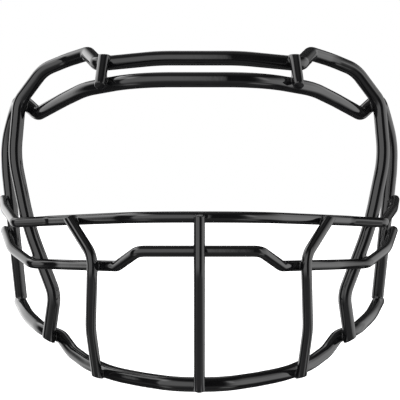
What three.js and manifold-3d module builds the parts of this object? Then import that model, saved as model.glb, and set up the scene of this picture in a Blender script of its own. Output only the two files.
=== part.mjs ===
// American football face guard: a cage of bent steel wire, welded together and coated.
// Millimetres. X runs across the face to the wearer's left, Y from the mouth back to the ears, Z up.
// The origin is on the mid-plane, at the back of the upper brow run, where the helmet shell meets it.
import * as THREE from 'three';
import Module from 'manifold-3d';
import { mergeVertices } from 'three/addons/utils/BufferGeometryUtils.js';

const wasm = await Module();
wasm.setup();

// Two wire gauges, as radii over the coating, and the number of flats on each one's section.
const HEAVY = { radius: 3.5, sides: 10 };
const LIGHT = { radius: 2.6, sides: 8 };

// Clearance between a weld bead and the wires that it joins.
const GAP = 0.3;

// How finely round bends are stepped: the largest turn per step, and the largest chord error.
const BEND_STEP = 16 * Math.PI / 180;
const CHORD_ERROR = 0.12;

// A bead is a flattened ball round the contact of two wires: its reach sideways and along the normal.
const BEAD_REACH = 4.6;
const BEAD_HEIGHT = 2.5;
const BEAD_SEGMENTS = 10;
const BEAD_RINGS = 6;

// Slanted cut ends on the wearer's left: a point of each cut and the direction of the metal cut away.
// The frame wire's feet follow the chin wire's slope, and the brow wire's ends stand on the chin wire.
const FRAME_FOOT_CUT = { point: [82.3, 55.2, -146.2], normal: [0.47, 0, -0.88] };
const BROW_END_CUT = { point: [107.1, 116, -128.2], normal: [0.065, 0.197, -0.978] };
const SIDE_TOP_CUT = { point: [66.6, 13.5, -78.4], normal: [0.39, 0, 0.92] };
const SIDE_FOOT_CUT = { point: [51.8, 15.4, -159.9], normal: [0.29, 0, -0.95] };
const STRUT_TOP_CUT = { point: [46.4, -4.5, 1.1], normal: [0, 0, 1] };
const CUTTER_SIZE = 24;

// Each wire's bends for the wearer's left half, from the middle outwards: x, y, z, bend radius.
// The other half mirrors them, so the run between the two innermost bends is straight.
const FRAME_BENDS = [
  [20, -3.5, -0.3, 80],
  [50, 0.5, -2.7, 6],
  [57.5, 24.5, 5.8, 8],
  [70, 38.5, 4.2, 20],
  [83.5, 44.1, -0.4, 18],
  [97.2, 49.5, -17.1, 12],
  [99.9, 50, -46.5, 60],
  [92.3, 49.5, -83.5, 150],
  [77.9, 48.2, -121, 16],
  [82.9, 56.2, -149.8],
];
const BROW_BENDS = [
  [30, -23.5, -13.1, 40],
  [57, 5.5, -14.6, 80],
  [70, 24.3, -18.1, 120],
  [87, 48.8, -23.5, 7],
  [96, 59.2, -15.9, 10],
  [106.8, 100, -12.7, 16],
  [114.4, 108, -35.9, 40],
  [113.8, 108, -53, 80],
  [108.8, 108, -100, 40],
  [107, 116.6, -130.8],
];
const UPPER_BAR_BENDS = [
  [26, -27.5, -77.9, 45],
  [79, 37.5, -80.9, 12],
  [98.6, 44.8, -82, 5],
  [110.4, 81.5, -74.8, 60],
  [115.2, 102.5, -69.5],
];
const LOWER_BAR_BENDS = [
  [28.8, -27.1, -93.9, 6],
  [39.9, -10.3, -101.9, 9],
  [77, 37.5, -103.9, 40],
  [89.5, 43.2, -103.8, 10],
  [105.2, 72, -97.1, 60],
  [114.4, 103, -87.6],
];
const CHIN_BENDS = [
  [11.3, -9.5, -159.4, 28],
  [27.8, 3.3, -159.2, 100],
  [44.1, 14.9, -158.1, 60],
  [58.7, 34.9, -155.6, 60],
  [68.4, 48.4, -151.5, 30],
  [75.8, 59.7, -144.7, 12],
  [86.6, 65.9, -142, 30],
  [99.5, 93, -136.9, 150],
  [108.7, 121.5, -130.9],
];
const SIDE_UPRIGHT_BENDS = [
  [67.8, 14.9, -76.8],
  [52.4, -3.1, -97.6, 12],
  [52.7, -3, -106, 16],
  [54.3, 6, -134, 60],
  [51.7, 16, -161.6],
];
const STRUT_BENDS = [
  [46.4, -3.1, 4.2],
  [47.6, -16.9, -15.4],
];
const CENTRE_UPRIGHT_BENDS = [
  [0, -33.1, -77.3],
  [0, -32.4, -103, 20],
  [0, -15.6, -161.3],
];

// A wire's centre line: straight runs joined by round bends, with stations only where it turns.
class BentWire extends THREE.Curve {
  constructor(bends) {
    super();
    this.stations = [];
    const corners = bends.map(([x, y, z]) => new THREE.Vector3(x, y, z));
    const last = corners.length - 1;
    this.addEnd(corners[0], corners[0], corners[1]);
    for (let i = 1; i < last; i += 1) {
      this.addBend(corners[i - 1], corners[i], corners[i + 1], bends[i][3]);
    }
    this.addEnd(corners[last], corners[last - 1], corners[last]);
  }

  addEnd(point, from, to) {
    this.stations.push({ point, ahead: to.clone().sub(from).normalize() });
  }

  addBend(before, corner, after, radius) {
    const incoming = corner.clone().sub(before).normalize();
    const outgoing = after.clone().sub(corner).normalize();
    const angle = incoming.angleTo(outgoing);
    const axis = incoming.clone().cross(outgoing).normalize();
    const inward = axis.clone().cross(incoming);
    const start = corner.clone().addScaledVector(incoming, -radius * Math.tan(angle / 2));
    const centre = start.addScaledVector(inward, radius);
    const step = Math.min(BEND_STEP, 2 * Math.acos(1 - CHORD_ERROR / radius));
    const count = Math.ceil(angle / step);
    for (let k = 0; k <= count; k += 1) {
      const turn = angle * k / count;
      const spoke = inward.clone().applyAxisAngle(axis, turn);
      const point = centre.clone().addScaledVector(spoke, -radius);
      this.stations.push({ point, ahead: incoming.clone().applyAxisAngle(axis, turn) });
    }
  }

  get steps() {
    return this.stations.length - 1;
  }

  getPointAt(u) {
    return this.stations[Math.round(u * this.steps)].point.clone();
  }

  getTangentAt(u) {
    return this.stations[Math.round(u * this.steps)].ahead.clone();
  }
}

const mirrored = (bends) => bends.map(([x, ...rest]) => [-x, ...rest]);
const rightToLeft = (bends) => [...mirrored(bends).reverse(), ...bends];
const otherSide = ({ point: [x, y, z], normal: [nx, ny, nz] }) => (
  { point: [-x, y, z], normal: [-nx, ny, nz] }
);

// A regular polygon swept along the wire, with flat cut ends.
function sweep(wire, grow = 0) {
  const { radius, sides } = wire.gauge;
  const corners = [];
  for (let k = 0; k < sides; k += 1) {
    const angle = 2 * Math.PI * (k + 0.5) / sides;
    const corner = new THREE.Vector2(Math.cos(angle), Math.sin(angle));
    corners.push(corner.multiplyScalar(radius + grow));
  }
  const extrudePath = new BentWire(wire.bends);
  const steps = extrudePath.steps;
  return new THREE.ExtrudeGeometry(new THREE.Shape(corners), { extrudePath, steps, bevelEnabled: false });
}

function toSolid(geometry) {
  const bare = geometry.clone();
  bare.deleteAttribute('normal');
  bare.deleteAttribute('uv');
  const merged = mergeVertices(bare, 1e-4);
  const vertProperties = new Float32Array(merged.attributes.position.array);
  const triVerts = new Uint32Array(merged.index.array);
  return new wasm.Manifold(new wasm.Mesh({ numProp: 3, vertProperties, triVerts }));
}

function toGeometry(solid) {
  const mesh = solid.getMesh();
  const geometry = new THREE.BufferGeometry();
  geometry.setAttribute('position', new THREE.BufferAttribute(mesh.vertProperties, 3));
  geometry.setIndex(new THREE.BufferAttribute(mesh.triVerts, 1));
  geometry.computeVertexNormals();
  return geometry;
}

const coating = () => new THREE.MeshStandardMaterial({ color: 0x0b0b0c, roughness: 0.15, metalness: 0 });

const group = new THREE.Group();

function addPiece(name, geometry) {
  const piece = new THREE.Mesh(geometry, coating());
  piece.name = name;
  group.add(piece);
}

// A block whose near face passes through the cut, facing back along the cut's normal.
function cutter({ point, normal }) {
  const block = new THREE.BoxGeometry(CUTTER_SIZE, CUTTER_SIZE, CUTTER_SIZE);
  const ahead = new THREE.Vector3(...normal).normalize();
  block.applyQuaternion(new THREE.Quaternion().setFromUnitVectors(new THREE.Vector3(0, 0, 1), ahead));
  const centre = new THREE.Vector3(...point).addScaledVector(ahead, CUTTER_SIZE / 2);
  return toSolid(block.translate(...centre));
}

// The nearest points of two wires on the wearer's left side, and the direction between them.
function contact(first, second) {
  const sample = (wire) => {
    const points = [];
    const { stations } = new BentWire(wire.bends);
    for (let i = 1; i < stations.length; i += 1) {
      const from = stations[i - 1].point;
      const to = stations[i].point;
      const count = Math.ceil(from.distanceTo(to) / 0.5);
      for (let k = 0; k <= count; k += 1) points.push(from.clone().lerp(to, k / count));
    }
    return points.filter((point) => point.x > -1e-6);
  };
  const others = sample(second);
  let best = { distance: Infinity };
  for (const a of sample(first)) {
    for (const b of others) {
      const distance = a.distanceTo(b);
      if (distance < best.distance) best = { distance, a, b };
    }
  }
  const normal = best.b.clone().sub(best.a).normalize();
  const spare = best.distance - first.gauge.radius - second.gauge.radius;
  const centre = best.a.clone().addScaledVector(normal, first.gauge.radius + spare / 2);
  return { centre, normal };
}

// The brow wire's rear ends stand on the chin wire instead of crossing it.
const STANDING_END = {
  centre: new THREE.Vector3(...BROW_END_CUT.point),
  normal: new THREE.Vector3(...BROW_END_CUT.normal).normalize(),
};

function ball(reach, height, { centre, normal }) {
  const geometry = new THREE.SphereGeometry(1, BEAD_SEGMENTS, BEAD_RINGS);
  geometry.rotateX(Math.PI / 2);
  geometry.scale(reach, reach, height);
  geometry.applyQuaternion(new THREE.Quaternion().setFromUnitVectors(new THREE.Vector3(0, 0, 1), normal));
  return toSolid(geometry.translate(...centre));
}

const SIDE_CUTS = [SIDE_TOP_CUT, SIDE_FOOT_CUT];
const wires = {
  frame_wire: {
    gauge: HEAVY,
    bends: rightToLeft(FRAME_BENDS),
    cuts: [FRAME_FOOT_CUT, otherSide(FRAME_FOOT_CUT)],
  },
  brow_wire: {
    gauge: HEAVY,
    bends: rightToLeft(BROW_BENDS),
    cuts: [BROW_END_CUT, otherSide(BROW_END_CUT)],
  },
  chin_wire: { gauge: HEAVY, bends: rightToLeft(CHIN_BENDS) },
  upper_bar: { gauge: LIGHT, bends: rightToLeft(UPPER_BAR_BENDS) },
  lower_bar: { gauge: LIGHT, bends: rightToLeft(LOWER_BAR_BENDS) },
  centre_upright: { gauge: LIGHT, bends: CENTRE_UPRIGHT_BENDS },
  side_upright_left: { gauge: LIGHT, bends: SIDE_UPRIGHT_BENDS, cuts: SIDE_CUTS },
  side_upright_right: { gauge: LIGHT, bends: mirrored(SIDE_UPRIGHT_BENDS), cuts: SIDE_CUTS.map(otherSide) },
  brow_strut_left: { gauge: LIGHT, bends: STRUT_BENDS, cuts: [STRUT_TOP_CUT] },
  brow_strut_right: { gauge: LIGHT, bends: mirrored(STRUT_BENDS), cuts: [otherSide(STRUT_TOP_CUT)] },
};

for (const [name, wire] of Object.entries(wires)) {
  if (wire.cuts) {
    const trimmed = wire.cuts.reduce((solid, cut) => solid.subtract(cutter(cut)), toSolid(sweep(wire)));
    addPiece(name, toGeometry(trimmed));
  } else {
    addPiece(name, sweep(wire));
  }
}

// The two wires of each joint and the name of its bead, with its place where they don't cross.
const JOINTS = [
  ['brow_strut_left', 'frame_wire', 'weld_strut_top'],
  ['brow_strut_left', 'brow_wire', 'weld_strut_bottom'],
  ['frame_wire', 'brow_wire', 'weld_temple'],
  ['upper_bar', 'frame_wire', 'weld_upper_bar_frame'],
  ['upper_bar', 'brow_wire', 'weld_upper_bar_end'],
  ['upper_bar', 'side_upright_left', 'weld_upper_bar_side'],
  ['lower_bar', 'frame_wire', 'weld_lower_bar_frame'],
  ['lower_bar', 'brow_wire', 'weld_lower_bar_end'],
  ['lower_bar', 'side_upright_left', 'weld_lower_bar_side'],
  ['chin_wire', 'side_upright_left', 'weld_chin_side'],
  ['chin_wire', 'frame_wire', 'weld_chin_foot'],
  ['chin_wire', 'brow_wire', 'weld_chin_end', STANDING_END],
  ['upper_bar', 'centre_upright', 'weld_upper_bar_centre'],
  ['lower_bar', 'centre_upright', 'weld_lower_bar_centre'],
  ['chin_wire', 'centre_upright', 'weld_chin_centre'],
];

const grown = Object.fromEntries(
  Object.entries(wires).map(([name, wire]) => [name, toSolid(sweep(wire, GAP))]),
);

for (const [first, second, name, place] of JOINTS) {
  const joint = place ?? contact(wires[first], wires[second]);
  const bead = ball(BEAD_REACH, BEAD_HEIGHT, joint).subtract(grown[first]).subtract(grown[second]);
  if (second === 'centre_upright') {
    addPiece(name, toGeometry(bead));
  } else {
    addPiece(`${name}_left`, toGeometry(bead));
    addPiece(`${name}_right`, toGeometry(bead.mirror([1, 0, 0])));
  }
}

export default group;
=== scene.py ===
# Looks of a black wire face guard for american football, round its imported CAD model.
# Each CAD wire is replaced by a smooth round wire on the same centre line, and each CAD weld by a fillet
# between the two wires that it joins. Metres, in the frame's axes: +X to the wearer's left, +Y back, +Z up.
import math

import bmesh
import bpy
import numpy as np
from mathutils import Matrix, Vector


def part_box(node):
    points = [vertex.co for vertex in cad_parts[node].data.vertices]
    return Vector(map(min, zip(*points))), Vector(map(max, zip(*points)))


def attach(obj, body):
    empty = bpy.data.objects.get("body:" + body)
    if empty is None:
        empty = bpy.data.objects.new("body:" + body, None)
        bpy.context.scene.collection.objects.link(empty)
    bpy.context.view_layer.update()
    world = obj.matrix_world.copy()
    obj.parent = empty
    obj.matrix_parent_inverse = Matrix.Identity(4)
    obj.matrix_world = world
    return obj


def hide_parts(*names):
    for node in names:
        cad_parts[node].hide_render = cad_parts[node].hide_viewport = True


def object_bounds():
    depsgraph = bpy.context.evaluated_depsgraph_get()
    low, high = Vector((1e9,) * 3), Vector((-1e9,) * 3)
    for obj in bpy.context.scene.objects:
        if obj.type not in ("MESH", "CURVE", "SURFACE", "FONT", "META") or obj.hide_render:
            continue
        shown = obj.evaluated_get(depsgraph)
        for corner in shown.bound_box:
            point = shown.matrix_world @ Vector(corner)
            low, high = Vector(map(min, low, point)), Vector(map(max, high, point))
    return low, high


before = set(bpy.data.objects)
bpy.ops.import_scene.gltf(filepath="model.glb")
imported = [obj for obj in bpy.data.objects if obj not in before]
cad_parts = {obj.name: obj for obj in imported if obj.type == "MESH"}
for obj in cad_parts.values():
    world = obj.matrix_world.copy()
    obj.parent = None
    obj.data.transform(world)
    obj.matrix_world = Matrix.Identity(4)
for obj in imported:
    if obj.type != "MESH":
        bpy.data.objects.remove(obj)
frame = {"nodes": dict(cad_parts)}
cad_low, cad_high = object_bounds()

MM = 0.001

# Reading a CAD wire: corners closer than this are one corner, and faces that meet flatter than this are one
# face. The first flatness is used that gives every ring the same number of corners.
SAME_PLACE = 0.005 * MM
SAME_PLANE = [math.radians(flatness) for flatness in (0.2, 0.15, 0.3, 0.1, 0.05)]
FEWEST_SIDES = 8

# How far the coating stands over the CAD wire's corners.
COAT = 0.1 * MM

# A wire's own mesh: sides round it, the longest step and largest turn along it, its cut ends' round edge,
# how far from a cut end its even rings stop, and a direction that no wire starts along.
SIDES = 44
STEP = 2.5 * MM
TURN = math.radians(2.5)
EDGE = 0.7 * MM
EDGE_RINGS = 6
END_ROOM = 3 * MM
ASLANT = (0.3, 0.5, 0.8)

# A weld's fillet: how far it blends the wires, how deep it starts under their skins, and its ball and grid.
BLEND = 2.7 * MM
SUNK = 0.03 * MM
WELD_ROOM = 6.5 * MM
WELD_PITCH = 0.36 * MM

# A weld's lumps: their height, how far from the contact they fade, and three waves, in radians per metre.
WELD_LUMP = 0.18 * MM
LUMP_FADE = 3.5 * MM
LUMP_WAVES = np.array([[900, 500, 300], [-400, 800, 600], [500, -300, 1000]]) * 1.3
LUMP_PHASES = np.array([1.0, 2.3, 3.7])

# How a weld's grid is drawn onto its true surface: times, share of the way, step that slopes are taken
# over, and the gentlest slope that is trusted.
PULLS = 2
PULL = 0.9
NUDGE = 0.01 * MM
GENTLEST = 0.3

# How much of a wire counts as near a place, and how finely a wire is searched and then measured from.
WIRE_REACH = 16 * MM
FINE_STEP = 0.3 * MM
FINE_PER_RUN = 5


# ---------------------------------------------------------------- the CAD wires' centre lines

def rings_at(node, flatness):
    """The rings of corners along a CAD wire, from one cut end to the other."""
    bm = bmesh.new()
    bm.from_mesh(frame["nodes"][node].data)
    bmesh.ops.remove_doubles(bm, verts=bm.verts, dist=SAME_PLACE)
    bmesh.ops.dissolve_limit(bm, angle_limit=flatness, verts=bm.verts, edges=bm.edges)
    bm.verts.index_update()
    many_sided = [face for face in bm.faces if len(face.verts) >= FEWEST_SIDES]
    cut_end = max(many_sided, key=lambda face: face.calc_area() / face.calc_perimeter() ** 2)
    ring = set(cut_end.verts)
    seen = set(ring)
    rings = []
    while ring:
        in_order = sorted(ring, key=lambda vert: vert.index)
        rings.append(np.array([vert.co for vert in in_order]))
        ring = {edge.other_vert(vert) for vert in ring for edge in vert.link_edges} - seen
        seen |= ring
    bm.free()
    return rings


def corner_rings(node):
    for flatness in SAME_PLANE:
        rings = rings_at(node, flatness)
        if len({len(ring) for ring in rings}) == 1:
            return rings
    raise ValueError(f"{node} can't be read as one round wire")


def plane_of(ring):
    """A ring's centre and the normal of its plane."""
    centre = ring.mean(axis=0)
    return centre, np.linalg.svd(ring - centre)[2][2]


def unit(vectors):
    return vectors / np.linalg.norm(vectors, axis=-1, keepdims=True)


def resampled(line, step):
    """Points an even step apart along a line."""
    along = np.concatenate([[0], np.cumsum(np.linalg.norm(np.diff(line, axis=0), axis=1))])
    ticks = np.linspace(0, along[-1], math.ceil(along[-1] / step) + 1)
    return np.stack([np.interp(ticks, along, line[:, axis]) for axis in range(3)], axis=1)


class Wire:
    """A round wire: its radius, stations with directions along its centre line, and its two end planes."""

    def __init__(self, node):
        rings = corner_rings(node)
        planes = [plane_of(ring) for ring in rings]
        self.centres = np.array([centre for centre, normal in planes])
        normals = np.array([normal for centre, normal in planes])
        along = np.gradient(self.centres, axis=0)
        self.aheads = normals * np.sign((normals * along).sum(axis=1, keepdims=True))
        self.ends = []
        for end, neighbour, outward in ((0, 1, -1), (-1, -2, 1)):
            face = self.aheads[end] * outward
            run = unit(self.centres[end] - self.centres[neighbour])
            self.aheads[end] = run * outward
            self.ends.append((self.centres[end], run, face))
        corners = np.linalg.norm(np.cross(rings[0] - self.centres[0], self.aheads[0]), axis=1)
        self.radius = corners.max() + COAT
        self.points, self.directions = self.sampled()
        self.fine = resampled(self.points, FINE_STEP)

    def sampled(self):
        """Points and directions along the true arcs and straight runs between the stations."""
        points = [self.centres[:1]]
        directions = [self.aheads[:1]]
        for start, end, leaving, arriving in zip(
            self.centres, self.centres[1:], self.aheads, self.aheads[1:]
        ):
            chord = np.linalg.norm(end - start)
            turn = math.acos(min(1, leaving @ arriving))
            count = math.ceil(max(chord / STEP, turn / TURN))
            t = np.linspace(0, 1, count + 1)[1:, None]
            leave, arrive = leaving * chord, arriving * chord
            points.append(
                (2 * t**3 - 3 * t**2 + 1) * start + (t**3 - 2 * t**2 + t) * leave
                + (3 * t**2 - 2 * t**3) * end + (t**3 - t**2) * arrive
            )
            directions.append(unit(
                (6 * t**2 - 6 * t) * start + (3 * t**2 - 4 * t + 1) * leave
                + (6 * t - 6 * t**2) * end + (3 * t**2 - 2 * t) * arrive
            ))
        return np.concatenate(points), np.concatenate(directions)

    def between(self, place):
        """The gap between a place and the wire's skin."""
        return np.linalg.norm(self.fine - place, axis=1).min() - self.radius

    def stretch(self, place):
        """The line, radius and cut faces of the wire's stretch near a place."""
        line = self.fine[np.linalg.norm(self.fine - place, axis=1) < WIRE_REACH][::FINE_PER_RUN]
        faces = []
        for end, (point, run, face) in enumerate(self.ends):
            if np.linalg.norm(point - place) < WIRE_REACH:
                line = np.insert(line, end * len(line), point + run * WIRE_REACH, axis=0)
                faces.append((point, face))
        return line, self.radius, faces


def skin_depth(places, stretch):
    """How far each place is outside a stretch of wire, or inside it where negative."""
    line, radius, faces = stretch
    starts, runs = line[:-1], np.diff(line, axis=0)
    away = places[:, None] - starts
    share = np.clip((away * runs).sum(axis=-1) / (runs**2).sum(axis=-1), 0, 1)
    depth = np.linalg.norm(away - share[..., None] * runs, axis=-1).min(axis=1) - radius
    for point, face in faces:
        depth = np.maximum(depth, (places - point) @ face)
    return depth


# ---------------------------------------------------------------- meshes

def new_piece(name, points, faces):
    mesh = bpy.data.meshes.new(name)
    mesh.from_pydata([tuple(point) for point in points], [], faces)
    mesh.validate()
    mesh.shade_smooth()
    piece = bpy.data.objects.new(name, mesh)
    bpy.context.scene.collection.objects.link(piece)
    return piece


def end_rings(wire, spokes, end):
    """The rings of a cut end, from the wire's side over the round edge to near the middle of its face."""
    point, run, face = wire.ends[end]
    rings = []
    for angle in np.linspace(0, math.pi / 2, EDGE_RINGS):
        rings.append((wire.radius - EDGE + EDGE * math.cos(angle), EDGE * math.sin(angle) - EDGE))
    flat = wire.radius - EDGE
    rings += [(flat - 0.1 * MM, 0), (flat / 2, 0)]
    made = []
    for reach, depth in rings:
        offsets = spokes * reach
        slide = (depth - offsets @ face) / (run @ face)
        made.append(point + offsets + slide[:, None] * run)
    return made


def wire_piece(name, wire):
    """A closed round wire along its centre line, with cut ends."""
    inner = [
        i for i, point in enumerate(wire.points)
        if min(np.linalg.norm(point - end[0]) for end in wire.ends) > END_ROOM
    ]
    side = unit(np.cross(wire.directions[0], ASLANT))
    angles = np.linspace(0, 2 * math.pi, SIDES, endpoint=False)[:, None]
    all_spokes = []
    for ahead in wire.directions:
        side = unit(side - ahead * (side @ ahead))
        all_spokes.append(np.cos(angles) * side + np.sin(angles) * np.cross(ahead, side))
    rings = end_rings(wire, all_spokes[0], 0)[::-1]
    rings += [wire.points[i] + all_spokes[i] * wire.radius for i in inner]
    rings += end_rings(wire, all_spokes[-1], 1)
    points = np.concatenate([*rings, [wire.ends[0][0]], [wire.ends[1][0]]])
    faces = []
    for ring in range(len(rings) - 1):
        for k in range(SIDES):
            here, after = ring * SIDES + k, ring * SIDES + (k + 1) % SIDES
            faces.append((here, after, after + SIDES, here + SIDES))
    last = (len(rings) - 1) * SIDES
    for k in range(SIDES):
        after = (k + 1) % SIDES
        faces.append((after, k, len(points) - 2))
        faces.append((last + k, last + after, len(points) - 1))
    return new_piece(name, points, faces)


def smooth_union(first, second, blend):
    """Two depths joined with a round fillet where they are within blend of each other."""
    near = np.maximum(blend - np.abs(first - second), 0) / blend
    return np.minimum(first, second) - near**3 * blend / 6


def weld_depth(places, stretches, contact, seed):
    """How far each place is outside a weld: the fillet between two wires, a little lumpy, in a ball."""
    first, second = (skin_depth(places, stretch) + SUNK for stretch in stretches)
    away = places - contact
    lumps = np.sin(away @ LUMP_WAVES.T + seed * LUMP_PHASES).mean(axis=1)
    near = np.exp(-(away**2).sum(axis=1) / LUMP_FADE**2)
    joined = smooth_union(first, second, BLEND) - WELD_LUMP * near * (0.5 + 0.5 * lumps)
    return np.maximum(joined, np.linalg.norm(away, axis=1) - WELD_ROOM)


def surface_net(values, low, pitch):
    """The surface where a grid of depths passes through 0: its points and its four-sided faces."""
    inside = values < 0
    total = np.zeros(tuple(n - 1 for n in values.shape) + (3,))
    count = np.zeros(total.shape[:3])
    corners = [(i, j, k) for i in (0, 1) for j in (0, 1) for k in (0, 1)]
    nx, ny, nz = total.shape[:3]

    def at(grid, corner):
        i, j, k = corner
        return grid[i:i + nx, j:j + ny, k:k + nz]

    for a in corners:
        for axis in range(3):
            if a[axis]:
                continue
            b = tuple(c + (n == axis) for n, c in enumerate(a))
            crosses = at(inside, a) != at(inside, b)
            va, vb = at(values, a), at(values, b)
            share = va / np.where(crosses, va - vb, 1)
            place = np.broadcast_to(np.array(a, float), total.shape).copy()
            place[..., axis] += share
            total += np.where(crosses[..., None], place, 0)
            count += crosses
    used = count > 0
    number = np.full(count.shape, -1)
    number[used] = np.arange(used.sum())
    cells = np.argwhere(used)
    points = low + (cells + total[used] / count[used][:, None]) * pitch
    faces = []
    for axis in range(3):
        step = np.eye(3, dtype=int)
        b, c = step[(axis + 1) % 3], step[(axis + 2) % 3]
        here = inside[1:-1, 1:-1, 1:-1]
        shift = tuple(slice(1 + s, values.shape[n] - 1 + s) for n, s in enumerate(step[axis]))
        there = inside[shift]
        for cell in np.argwhere(here != there):
            base = cell + 1
            loop = [base - b - c, base - c, base, base - b]
            ring = [number[tuple(corner)] for corner in loop]
            faces.append(tuple(ring if here[tuple(cell)] else ring[::-1]))
    return points, faces


def weld_piece(name, wires, contact, seed):
    """A closed weld between two wires that lies under their skins except where it fills the corner."""
    stretches = [wire.stretch(contact) for wire in wires]
    half = math.ceil((WELD_ROOM + 2 * WELD_PITCH) / WELD_PITCH)
    ticks = np.arange(-half, half + 1) * WELD_PITCH
    grid = np.stack(np.meshgrid(ticks, ticks, ticks, indexing="ij"), axis=-1)
    places = grid.reshape(-1, 3) + contact
    values = weld_depth(places, stretches, contact, seed).reshape(grid.shape[:3])
    points, faces = surface_net(values, contact - half * WELD_PITCH, WELD_PITCH)
    for _ in range(PULLS):
        depth = weld_depth(points, stretches, contact, seed)
        slope = np.stack([
            weld_depth(points + step, stretches, contact, seed)
            - weld_depth(points - step, stretches, contact, seed)
            for step in np.eye(3) * NUDGE
        ], axis=1) / (2 * NUDGE)
        steep = np.maximum((slope**2).sum(axis=1), GENTLEST)
        points = points - slope * np.clip(depth / steep, -WELD_PITCH, WELD_PITCH)[:, None] * PULL
    return new_piece(name, points, faces)


# ---------------------------------------------------------------- the guard's pieces

def box_centre(node):
    low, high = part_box(node)
    return np.array((low + high) / 2)


def contact_of(place, wires):
    """The point between two wires' skins where they come closest, near a place."""
    near = [wire.fine[np.linalg.norm(wire.fine - place, axis=1) < WIRE_REACH] for wire in wires]
    gaps = np.linalg.norm(near[0][:, None] - near[1][None], axis=2)
    i, j = np.unravel_index(gaps.argmin(), gaps.shape)
    a, b = near[0][i], near[1][j]
    return a + (b - a) * wires[0].radius / (wires[0].radius + wires[1].radius)


def is_weld(node):
    return node.startswith("weld_")


wires = {node: Wire(node) for node in sorted(frame["nodes"]) if not is_weld(node)}


# ---------------------------------------------------------------- the coating

# Each noise is a scale, in waves a metre, and a level of detail.
TINT_NOISE = (60, 3)
GLOSS_NOISE = (140, 4)
PEEL_NOISE = (620, 2)
LUMP_NOISE = (90, 1)
NOISE_LOW, NOISE_HIGH = 0.3, 0.7
DARKER = (0.0025, 0.0025, 0.0028)
LIGHTER = (0.0045, 0.0045, 0.005)
PEEL_DEPTH = 0.012 * MM


def coating(name, roughness, lumps):
    """Gloss black coating: a little uneven in colour and gloss, with the faint dimples of orange peel."""
    material = bpy.data.materials.new(name)
    material.use_nodes = True
    nodes, links = material.node_tree.nodes, material.node_tree.links
    shader = nodes["Principled BSDF"]
    shader.inputs["Metallic"].default_value = 0
    shader.inputs["IOR"].default_value = 1.5
    place = nodes.new("ShaderNodeTexCoord").outputs["Object"]

    def noise(scale, detail):
        node = nodes.new("ShaderNodeTexNoise")
        node.inputs["Scale"].default_value = scale
        node.inputs["Detail"].default_value = detail
        links.new(place, node.inputs["Vector"])
        return node.outputs["Fac"]

    def ramp(fac, stops):
        node = nodes.new("ShaderNodeValToRGB")
        for element, (position, colour) in zip(node.color_ramp.elements, stops):
            element.position = position
            element.color = (*colour, 1)
        links.new(fac, node.inputs["Fac"])
        return node.outputs["Color"]

    def spread(fac, low, high):
        node = nodes.new("ShaderNodeMapRange")
        node.inputs["From Min"].default_value = NOISE_LOW
        node.inputs["From Max"].default_value = NOISE_HIGH
        node.inputs["To Min"].default_value = low
        node.inputs["To Max"].default_value = high
        links.new(fac, node.inputs["Value"])
        return node.outputs["Result"]

    def bump(height, depth):
        node = nodes.new("ShaderNodeBump")
        node.inputs["Strength"].default_value = 1
        node.inputs["Distance"].default_value = depth
        links.new(height, node.inputs["Height"])
        return node

    colour = ramp(noise(*TINT_NOISE), [(NOISE_LOW, DARKER), (NOISE_HIGH, LIGHTER)])
    links.new(colour, shader.inputs["Base Color"])
    links.new(spread(noise(*GLOSS_NOISE), *roughness), shader.inputs["Roughness"])
    peel = bump(noise(*PEEL_NOISE), PEEL_DEPTH)
    uneven = bump(noise(*LUMP_NOISE), lumps)
    links.new(peel.outputs["Normal"], uneven.inputs["Normal"])
    links.new(uneven.outputs["Normal"], shader.inputs["Normal"])
    return material


wire_coating = coating("wire_coating", (0.04, 0.09), 0.02 * MM)
weld_coating = coating("weld_coating", (0.07, 0.13), 0.08 * MM)


def finish_piece(piece, node, material):
    piece.data.materials.append(material)
    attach(piece, "root")
    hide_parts(node)


for node, wire in wires.items():
    finish_piece(wire_piece(node + "_coated", wire), node, wire_coating)

for seed, node in enumerate(sorted(filter(is_weld, frame["nodes"]))):
    place = box_centre(node)
    pair = sorted(wires.values(), key=lambda wire: wire.between(place))[:2]
    contact = contact_of(place, pair)
    finish_piece(weld_piece(node + "_coated", pair, contact, seed), node, weld_coating)


# ---------------------------------------------------------------- stage, light and camera

EYE_DISTANCE = 533.5 * MM
EYE_HEIGHT = -69.9 * MM
LENS = 97.2
VIEW_SHIFT = 0.00175  # a share of the picture's width
FLOOR_REACH = 6
FLOOR_DROP = 0.3 * MM
FLOOR_GREY = 0.9
FLOOR_GLOW = 0.8


def floor():
    """A pale, glowing floor just under the guard, which the guard's gloss doesn't mirror."""
    mesh = bpy.data.meshes.new("floor")
    height = cad_low.z - FLOOR_DROP
    corners = [(x * FLOOR_REACH, y * FLOOR_REACH, height) for x, y in ((-1, -1), (1, -1), (1, 1), (-1, 1))]
    mesh.from_pydata(corners, [], [(0, 1, 2, 3)])
    plane = bpy.data.objects.new("floor", mesh)
    bpy.context.scene.collection.objects.link(plane)
    material = bpy.data.materials.new("pale_floor")
    material.use_nodes = True
    shader = material.node_tree.nodes["Principled BSDF"]
    shader.inputs["Base Color"].default_value = (FLOOR_GREY, FLOOR_GREY, FLOOR_GREY, 1)
    shader.inputs["Roughness"].default_value = 1
    shader.inputs["Specular IOR Level"].default_value = 0
    shader.inputs["Emission Color"].default_value = (1, 1, 1, 1)
    shader.inputs["Emission Strength"].default_value = FLOOR_GLOW
    mesh.materials.append(material)
    plane.visible_glossy = False


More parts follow.
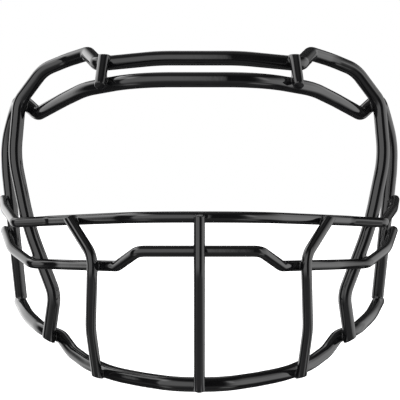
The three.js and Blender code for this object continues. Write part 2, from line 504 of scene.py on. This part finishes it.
# The lit areas round the guard as it mirrors them: azimuth and elevation of the middle, half sizes, softness
# of the edges, all in degrees, and radiance. Azimuth 0 is the camera's side and 90 is +X.
STUDIO = {
    "key": ((-36, 13), (38, 34), (3, 16), 1.9),
    "right": ((95, 6), (46, 34), (12, 10), 1.3),
    "right_core": ((84, -2), (28, 24), (10, 8), 0.9),
    "right_strip": ((55, 25), (6, 16), (4, 8), 1.5),
    "left_back": ((-134, 4), (24, 28), (8, 10), 2.0),
    "left_high": ((-100, 42), (36, 10), (10, 8), 2.8),
    "left_back_high": ((-132, 50), (12, 10), (8, 8), 2.0),
    "back_high": ((180, 48), (14, 8), (8, 6), 1.5),
    "right_low": ((60, -46), (18, 8), (8, 8), 1.6),
    "left_low": ((-72, -45), (12, 8), (8, 8), 1.2),
    "front_low": ((-20, -38), (70, 14), (12, 10), 0.3),
    "below": ((0, -90), (180, 34), (1, 12), 0.2),
    "above": ((0, 90), (180, 24), (1, 12), 0.2),
}
ROOM = 0.05
SKY = 1.0


def studio_world():
    """White to the camera and on the floor, and a dim room with the lit areas in the guard's gloss."""
    world = bpy.data.worlds.new("studio")
    bpy.context.scene.world = world
    world.use_nodes = True
    world.cycles.sampling_method = "NONE"
    nodes, links = world.node_tree.nodes, world.node_tree.links

    def fill(socket, value):
        if isinstance(value, (int, float)):
            socket.default_value = value
        else:
            links.new(value, socket)

    def math_node(operation, *values):
        node = nodes.new("ShaderNodeMath")
        node.operation = operation
        for socket, value in zip(node.inputs, values):
            fill(socket, value)
        return node.outputs[0]

    def soft_edge(distance, half, softness):
        node = nodes.new("ShaderNodeMapRange")
        node.interpolation_type = "SMOOTHSTEP"
        fill(node.inputs["Value"], distance)
        node.inputs["From Min"].default_value = half + softness
        node.inputs["From Max"].default_value = half - softness
        return node.outputs["Result"]

    direction = nodes.new("ShaderNodeSeparateXYZ")
    links.new(nodes.new("ShaderNodeTexCoord").outputs["Generated"], direction.inputs[0])
    x, y, z = direction.outputs
    azimuth = math_node("DEGREES", math_node("ARCTAN2", x, math_node("MULTIPLY", y, -1)))
    elevation = math_node("DEGREES", math_node("ARCSINE", z))
    total = ROOM
    for middle, half, softness, radiance in STUDIO.values():
        aside = math_node("ABSOLUTE", math_node("WRAP", math_node("SUBTRACT", azimuth, middle[0]), -180, 180))
        above = math_node("ABSOLUTE", math_node("SUBTRACT", elevation, middle[1]))
        across = soft_edge(aside, half[0], softness[0])
        upward = soft_edge(above, half[1], softness[1])
        lit = math_node("MULTIPLY", across, upward)
        total = math_node("MULTIPLY_ADD", lit, radiance, total)
    path = nodes.new("ShaderNodeLightPath")
    plain = math_node("MAXIMUM", path.outputs["Is Camera Ray"], path.outputs["Is Diffuse Ray"])
    strength = nodes.new("ShaderNodeMix")
    fill(strength.inputs["Factor"], plain)
    fill(strength.inputs["A"], total)
    fill(strength.inputs["B"], SKY)
    background = nodes["Background"]
    background.inputs["Color"].default_value = (1, 1, 1, 1)
    links.new(strength.outputs["Result"], background.inputs["Strength"])


def camera():
    data = bpy.data.cameras.new("camera")
    data.sensor_width = 36
    data.lens = LENS
    data.shift_x = VIEW_SHIFT
    data.clip_start = 0.01
    data.clip_end = 50
    eye = bpy.data.objects.new("camera", data)
    eye.location = (0, -EYE_DISTANCE, EYE_HEIGHT)
    eye.rotation_euler = (math.pi / 2, 0, 0)
    bpy.context.scene.collection.objects.link(eye)
    bpy.context.scene.camera = eye


floor()
studio_world()
camera()
bpy.context.scene.view_settings.view_transform = "Standard"
